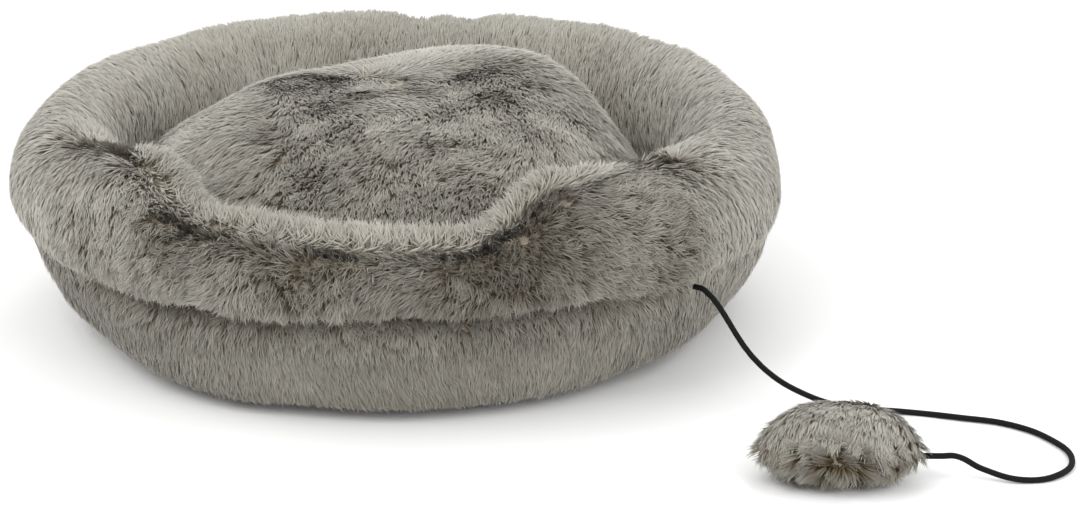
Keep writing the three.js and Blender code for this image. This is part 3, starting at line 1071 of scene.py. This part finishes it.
@dataclass
class Pillow:
    """A padded oval form with pile all over: the loose cushion or the toy."""

    name: str
    body: Body
    nodes: tuple[str, ...]
    finishes: Finishes
    skin: float  # depth of the padding under the cover's face, at its sides
    top_skin: float  # and at its top
    power: float = 0.72
    crown_share: float = 0.56
    rings: int = 240
    rows: int = 120
    turn: float = 0.0  # degrees round the upright axis

    def __post_init__(self) -> None:
        boxes = [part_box(node) for node in self.nodes if node.endswith("cover")]
        low = np.min([b[0] for b in boxes], axis=0)
        high = np.max([b[1] for b in boxes], axis=0)
        self.low, self.high = np.array(low, float), np.array(high, float)
        self.centre = (self.low + self.high) / 2.0
        self.size = self.high - self.low
        self.surface = self.form()

    def form(self) -> Surface:
        """Build the crowned form, which is fuller than an ellipse.

        Returns:
            The surface of the padding, under its pile.
        """
        degrees = np.arange(self.rings) * 360.0 / self.rings
        tilt = np.linspace(-89.5, 89.5, self.rows)
        reach = np.cos(np.radians(tilt)) ** self.power
        rise = np.sign(tilt) * np.abs(np.sin(np.radians(tilt))) ** (1.0 / self.power)
        seam = self.low[2] + self.size[2] * (1.0 - self.crown_share)
        crown, belly = self.high[2] - seam - self.top_skin, seam - self.low[2] - self.skin * 0.6
        half = self.half_sizes() - self.skin
        x = half[0] * np.cos(np.radians(degrees))[:, None] * reach[None]
        y = half[1] * np.sin(np.radians(degrees))[:, None] * reach[None]
        z = np.broadcast_to(seam + rise * np.where(rise > 0, crown, belly), x.shape)
        angle = math.radians(self.turn)
        across = self.centre[0] + x * math.cos(angle) - y * math.sin(angle)
        along = self.centre[1] + x * math.sin(angle) + y * math.cos(angle)
        return Surface(np.stack([across, along, z], -1), degrees, tilt)

    def half_sizes(self) -> Array:
        """Give the half length and half width of the form, in its own frame.

        Returns:
            The two half sizes.
        """
        return self.size[:2] / 2.0

    def closed_mesh(self, name: str) -> bpy.types.Object:
        """Make the padding's closed mesh from the surface.

        Args:
            name: Name of the object.

        Returns:
            The object.
        """
        rows, columns = self.surface.points.shape[:2]
        vertices = self.surface.points.reshape(-1, 3)
        ends = np.stack([self.surface.points[:, 0].mean(0), self.surface.points[:, -1].mean(0)])
        faces = self.surface.quads()
        bottom, top = len(vertices), len(vertices) + 1
        for i in range(rows):
            following = (i + 1) % rows
            faces.append((bottom, following * columns, i * columns))
            faces.append((top, i * columns + columns - 1, following * columns + columns - 1))
        obj = mesh_object(name, np.concatenate([vertices, ends]), faces)
        smooth(obj)
        return obj

    def padding(self, fill: float) -> bpy.types.Object:
        """Build the padded form and put it on its body.

        Args:
            fill: How full of stuffing it is, from 0 to 1. Not used.

        Returns:
            The piece.
        """
        piece = self.closed_mesh(f"{self.name}_padding")
        piece.data.materials.append(self.finishes.backing)
        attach(piece, self.body.value)
        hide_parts(*self.nodes)
        return piece


@dataclass
class Cushion(Pillow):
    """The loose domed cushion that fills the nest, fullest towards the right rear."""

    peak: tuple[float, float] = (0.082, 0.076)
    peak_rise: float = 0.026
    peak_spread: float = 0.088
    dimple_depth: float = 0.004

    def shape_details(self) -> None:
        """Give the dome its soft lumps, its two dimples and its seam."""
        points = self.surface.points
        tilt = self.surface.v_values[None, :]
        upper = ease(tilt, 0.0, 30.0)
        self.dimples = [self.near(-0.060, -0.068), self.near(-0.036, -0.100)]
        depth = drift(points, 0.15, 31) * 0.003 + drift(points, 0.06, 32) * 0.0018
        forward = 1.0 - ease(points[..., 1], -0.11, -0.03)
        depth = depth * upper + (0.002 + 0.004 * forward) * bump(tilt, 6.0, 24.0)
        depth = depth - 0.003 * bump(tilt, -8.0, 3.5)
        for centre in self.dimples:
            depth -= self.dimple_depth * bump(np.linalg.norm(points - centre, axis=-1), 0.0, 0.014)
        self.surface.push(depth)
        from_peak = np.linalg.norm(self.surface.points[..., :2] - self.peak, axis=-1)
        rise = self.peak_rise * bump(from_peak, 0.0, self.peak_spread) * ease(tilt, 0.0, 50.0)
        self.surface.points[..., 2] += rise
        self.surface.measure()

    def near(self, x: float, y: float) -> Array:
        """Give the point of the dome over a place.

        Args:
            x: Across the bed.
            y: Along the bed.

        Returns:
            The position on the dome.
        """
        flat = self.surface.points.reshape(-1, 3)
        upper = flat[flat[:, 2] > self.centre[2]]
        return upper[np.argmin(np.linalg.norm(upper[:, :2] - (x, y), axis=1))]

    def style(self, at: Samples) -> Pile:
        """Comb the cushion's pile.

        Args:
            at: Places on the cushion.

        Returns:
            The pile there.
        """
        rough = 0.5 + 0.5 * np.tanh(1.5 * drift(at.point, 0.08, 41))
        right = ease(at.point[:, 0], -0.14, -0.02)
        front = 1.0 - ease(at.point[:, 1], -0.12, -0.05)
        speck = drift(at.point, 0.018, 47)
        rear_edge = ease(at.point[:, 1], 0.0, 0.07) * (1.0 - ease(at.v, 25.0, 60.0))
        open_pile = np.clip((0.3 + 0.5 * rough + 0.3 * speck) * right + 0.45 * front, 0.0, 1.1)
        behind = ease(at.point[:, 1] - 0.35 * np.maximum(at.point[:, 0], 0.0), -0.03, 0.05)
        open_pile = open_pile * (1.0 - 0.85 * rear_edge) * (1.0 - 0.9 * behind)
        swirl = drift(at.point, 0.12, 42) * 0.6 + drift(at.point, 0.035, 43) * 0.4
        back_slope = ease(at.point[:, 1], -0.01, 0.05) * (1.0 - ease(at.point[:, 0], 0.02, 0.10))
        falling = np.maximum(1.0 - ease(at.v, 42.0, 76.0), back_slope)[:, None]
        slant = unit(np.array([0.7, -0.5, 0.0]) - at.along * (0.3 + 2.6 * falling))
        comb = slant * np.cos(swirl)[:, None] + at.across * np.sin(swirl)[:, None]
        lift = 4.0 + 20.0 * open_pile + 2.0 * drift(at.point, 0.04, 44)
        clump = 0.02 + 0.14 * open_pile
        depth = 0.06 + 0.55 * open_pile
        stray = 0.16 + 0.18 * open_pile
        # Painted light: the cushion's rear side is made lighter.
        painted_light_rear = ease(at.point[:, 1], -0.02, 0.09)
        tone = 0.43 - 0.03 * open_pile + 0.03 * drift(at.point, 0.06, 45) + 0.19 * painted_light_rear
        for centre in self.dimples:
            from_dimple = at.point - centre
            far = np.linalg.norm(from_dimple, axis=-1)
            near = bump(far, 0.0, 0.013)
            comb = unit(comb + unit(from_dimple) * (0.7 * near)[:, None])
            # Painted shade: the dimple's hollow is darkened a little.
            tone = tone - 0.03 * near
            lift = lift + 16.0 * near
            stray = stray + 0.4 * near
            depth = np.maximum(depth, near)
            clump = np.maximum(clump, 0.3 * near)
        under = 1.0 - ease(at.v, -20.0, 5.0)
        length = 0.0115 + 0.0008 * drift(at.point, 0.05, 46) - 0.004 * under
        lift = np.clip(lift * (1.0 - 0.4 * under), 4.0, 70.0)
        # Painted shade: the cushion's underside is darkened.
        return Pile(length, lift, comb, clump, tone - 0.08 * under, depth, stray)

    def build(self) -> None:
        """Build the cushion and put it on its body."""
        self.shape_details()
        self.padding(0.8)
        tilt = self.surface.v_values[None, :]
        x = self.surface.points[..., 0]
        pelt = Pelt(self.surface, self.style, self.finishes.pile, self.body, seed=200, glow=0.5)
        pelt.grow("pile_cushion_left", (x < 0) & (tilt > -12.0))
        pelt.grow("pile_cushion_right", (x >= 0) & (tilt > -12.0))
        pelt.grow("pile_cushion_base", 0.3 * (tilt <= -12.0) * np.ones_like(x))


@dataclass
class Toy(Pillow):
    """The small plush toy with long shaggy pile."""

    length: float = 0.104
    width: float = 0.062

    def half_sizes(self) -> Array:
        """Give the half length and half width of the toy.

        Returns:
            The two half sizes.
        """
        return np.array([self.length, self.width]) / 2.0

    def style(self, at: Samples) -> Pile:
        """Comb the toy's pile: smooth over its back and shaggy down its sides.

        Args:
            at: Places on the toy.

        Returns:
            The pile there.
        """
        from_centre = at.point - self.centre
        back = ease(from_centre[:, 1], 0.0, 0.02)
        top = ease(at.v, 12.0, 55.0)
        outward = unit(from_centre * np.array([1.0, 1.0, 0.0]))
        over = np.array([-0.25, -0.9, 0.0])
        spread = np.maximum(1.0 - top, back)[:, None]
        forward = ((0.35 + 0.9 * top) * (1.0 - back))[:, None]
        fall = unit(0.1 * outward * spread + np.array([0.0, 0.0, -0.75]) + over * forward)
        swirl = drift(at.point, 0.05, 51) * 0.35 + drift(at.point, 0.014, 52) * 0.22
        comb = fall * np.cos(swirl)[:, None] + at.across * np.sin(swirl)[:, None]
        front = 1.0 - ease(from_centre[:, 1], -0.022, 0.004)
        parting = front * bump(at.v, 8.0, 16.0)
        heart = self.centre + np.array([0.0, -self.width / 2.0, -0.007])
        from_heart = (at.point - heart) * np.array([0.55, 1.0, 1.0])
        fan = front * bump(np.linalg.norm(from_heart, axis=-1), 0.0, 0.019)
        comb = unit(comb * (1.0 - fan)[:, None] + unit(at.point - heart) * (2.0 * fan)[:, None])
        lift = 26.0 - 22.0 * np.maximum(top, back) + 22.0 * fan + 5.0 * drift(at.point, 0.02, 53)
        clump = 0.7 - 0.5 * top
        length = 0.0100 + 0.0022 * (1.0 - ease(at.v, 2.0, 24.0)) * (1.0 - 0.6 * back)
        # Painted light: the toy's top and back are made lighter.
        tone = 0.42 + 0.12 * np.maximum(top, back) - 0.16 * parting
        tone = tone - 0.22 * fan + 0.05 * drift(at.point, 0.02, 54)
        depth = np.maximum((1.0 - 0.85 * top) * (1.0 - 0.8 * back), fan)
        lift, clump = np.clip(lift, 5.0, 70.0), clump * (1.0 - 0.6 * back)
        return Pile(length, lift, comb, clump, tone, depth, 0.3 - 0.1 * top)

    def build(self) -> list[bpy.types.Object]:
        """Build the toy and put it on its body.

        Returns:
            Its pieces.
        """
        padding = self.padding(0.7)
        pelt = Pelt(
            self.surface, self.style, self.finishes.toy_pile, self.body, seed=300, density=1900000.0,
            tuft_density=90000.0, lock_density=20000.0, blade_width=0.0006, glow=0.7,
        )
        return [padding, pelt.grow("pile_toy", np.ones(self.surface.points.shape[:2]))]


@dataclass
class Floor:
    """The padded floor inside the wall and the base cloth under the bed."""

    finishes: Finishes
    rings: int = 160
    rows: int = 24
    quilt: float = 0.045  # side of the quilting's diamonds
    puff: float = 0.003
    cloth_inset: float = 0.016  # the pile hangs over the cloth's edge

    def oval(self, name: str, nodes: Sequence[str], puff: float, inset: float) -> bpy.types.Object:
        """Build one oval pad or cloth in the space of its nodes.

        Args:
            name: Name of the object.
            nodes: The CAD nodes whose place it takes.
            puff: Height of its quilting, in metres.
            inset: How far its edge lies inside theirs, in metres.

        Returns:
            The object.
        """
        boxes = [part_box(node) for node in nodes]
        low = np.array(np.min([box[0] for box in boxes], axis=0), float)
        high = np.array(np.max([box[1] for box in boxes], axis=0), float)
        centre, half = (low + high) / 2.0, (high - low) / 2.0 - inset
        angle = np.arange(self.rings) * 2.0 * math.pi / self.rings
        reach = np.concatenate([np.linspace(0.03, 1, self.rows), np.linspace(1, 0.03, self.rows)])
        x = centre[0] + half[0] * np.cos(angle)[:, None] * reach
        y = centre[1] + half[1] * np.sin(angle)[:, None] * reach
        upper = np.arange(2 * self.rows) >= self.rows
        z = np.broadcast_to(np.where(upper, high[2] - puff, low[2]), x.shape).copy()
        lines = [np.sin(math.pi * way / self.quilt) for way in (x + y, x - y)]
        channels = np.abs(lines[0] * lines[1]) ** 0.5
        z += np.where(upper, puff * channels * (1 - reach**8), 0.0)
        points = np.stack([x, y, z], -1)
        surface = Surface(points, np.degrees(angle), np.arange(2.0 * self.rows))
        faces = surface.quads()
        rim = np.arange(self.rings) * 2 * self.rows
        faces += [tuple(int(i) for i in rim[::-1]), tuple(int(i) for i in rim + 2 * self.rows - 1)]
        obj = mesh_object(name, points.reshape(-1, 3), faces)
        smooth(obj)
        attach(obj, Body.BED.value)
        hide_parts(*nodes)
        return obj

    def build(self) -> None:
        """Build the floor pad and the base cloth, and put them on the bed's body."""
        pad = self.oval("floor_pad", ("floor_lining", "floor_wadding"), self.puff, 0.0)
        pad.data.materials.append(self.finishes.lining)
        cloth = self.oval("base_cloth_panel", ("base_cloth",), 0.0, self.cloth_inset)
        cloth.data.materials.append(self.finishes.base)


@dataclass
class ElasticCord:
    """The elastic cord from the wall's seam to the toy."""

    finishes: Finishes
    diameter: float = 0.0034
    # Seen from the toy's hinge, only the hidden end lies this way: the stretch by the wall lies behind it.
    turned_past: tuple[float, float, float] = (0.33199, -0.22795, 0.0140)
    route: tuple[tuple[float, float, float], ...] = (
        (0.19963, -0.12448, 0.06776),
        (0.20589, -0.12978, 0.06776),
        (0.24003, -0.14698, 0.0296),
        (0.26703, -0.15098, 0.0145),
        (0.29503, -0.14498, 0.0053),
        (0.32103, -0.13898, 0.0020),
        (0.35403, -0.14298, 0.0020),
        (0.38203, -0.14898, 0.0020),
        (0.40203, -0.16498, 0.0020),
        (0.41103, -0.18698, 0.0020),
        (0.40103, -0.20898, 0.0020),
        (0.38103, -0.21698, 0.0020),
        (0.36003, -0.21598, 0.0066),
        (0.34549, -0.21748, 0.0140),
        (0.33733, -0.21833, 0.0140),
        (0.31800, -0.22036, 0.0140),
        (0.29050, -0.22325, 0.0140),
    )

    def build(self) -> bpy.types.Object:
        """Build the cord as one round tube.

        Returns:
            The cord.
        """
        data = bpy.data.curves.new("elastic_cord_line", "CURVE")
        data.dimensions = "3D"
        data.resolution_u = 8
        spline = data.splines.new("BEZIER")
        spline.bezier_points.add(len(self.route) - 1)
        for point, place in zip(spline.bezier_points, self.route):
            point.co = place
            point.handle_left_type = point.handle_right_type = "AUTO"
        self.cord = add_object("elastic_cord_line", data)
        self.line = [tuple(vertex.co) for vertex in self.cord.to_mesh().vertices]
        self.cord.to_mesh_clear()
        data.bevel_depth = self.diameter / 2.0
        data.bevel_resolution = 3
        data.use_fill_caps = True
        deselect()
        self.cord.select_set(True)
        bpy.context.view_layer.objects.active = self.cord
        bpy.ops.object.convert(target="MESH")
        self.cord.data.materials.clear()
        self.cord.data.materials.append(self.finishes.elastic)
        smooth(self.cord)
        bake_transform(self.cord)
        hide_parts("elastic_cord")
        return self.cord


# ---------------------------------------------------------------- stage


@dataclass
class Studio:
    """The camera, the pale floor and the soft lights."""

    place: tuple[float, float, float] = (0.23741, -1.12912, 0.46406)
    target: tuple[float, float, float] = (0.09373, -0.0028, 0.03615)
    sensor: float = 36.0
    lens: float = 61.84

    def camera(self) -> None:
        """Set up the camera."""
        data = bpy.data.cameras.new("camera")
        data.sensor_width = self.sensor
        data.lens = self.lens
        obj = add_object("camera", data)
        obj.location = self.place
        look = Vector(self.target) - Vector(self.place)
        obj.rotation_euler = look.to_track_quat("-Z", "Y").to_euler()
        bpy.context.scene.camera = obj

    def light(self, name: str, place: tuple, size: float, power: float) -> None:
        """Add a soft square light that faces the bed.

        Args:
            name: Its name.
            place: Where it stands.
            size: Its side in metres.
            power: Its power in watts.
        """
        data = bpy.data.lights.new(name, "AREA")
        data.size = size
        data.energy = power
        obj = add_object(name, data)
        obj.location = place
        obj.rotation_euler = (-Vector(place)).to_track_quat("-Z", "Y").to_euler()

    def build(self) -> None:
        """Build the floor, the lights and the surroundings."""
        bpy.ops.mesh.primitive_plane_add(size=12.0, location=(0, 0, 0))
        floor = bpy.context.active_object
        floor.name = "studio_floor"
        pale = (0.9, 0.9, 0.9, 1.0)
        floor.data.materials.append(new_material("studio_floor", Base_Color=pale, Roughness=0.9)[0])
        self.light("key_light", (-1.3, -0.9, 2.0), 1.8, 34.0)
        self.light("fill_light", (1.8, -1.0, 1.4), 1.8, 22.0)
        self.light("rear_light", (0.4, 1.6, 1.8), 1.6, 12.0)
        world = bpy.data.worlds.new("studio")
        world.use_nodes = True
        background = world.node_tree.nodes["Background"]
        background.inputs["Color"].default_value = (1.0, 1.0, 1.0, 1.0)
        background.inputs["Strength"].default_value = 0.9
        bpy.context.scene.world = world
        bpy.context.scene.view_settings.view_transform = "Standard"


def main() -> None:
    """Build the scene in order."""
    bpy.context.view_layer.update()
    studio = Studio()
    studio.camera()
    finishes = Finishes()
    cord = ElasticCord(finishes)
    cord.build()
    toy = Toy("toy", Body.TOY, ("toy_cover", "toy_filling", "toy_knot"), finishes, skin=0.010, top_skin=0.003,
              crown_share=26.0 / 45.0, power=0.55, rings=120, rows=60, turn=6.0)
    toy.build()
    Wall(finishes).build()
    nodes = ("cushion_top_cover", "cushion_base_cover", "cushion_filling")
    Cushion("cushion", Body.CUSHION, nodes, finishes, skin=0.002, top_skin=0.005).build()
    Floor(finishes).build()
    studio.build()


if __name__ == "__main__":
    main()
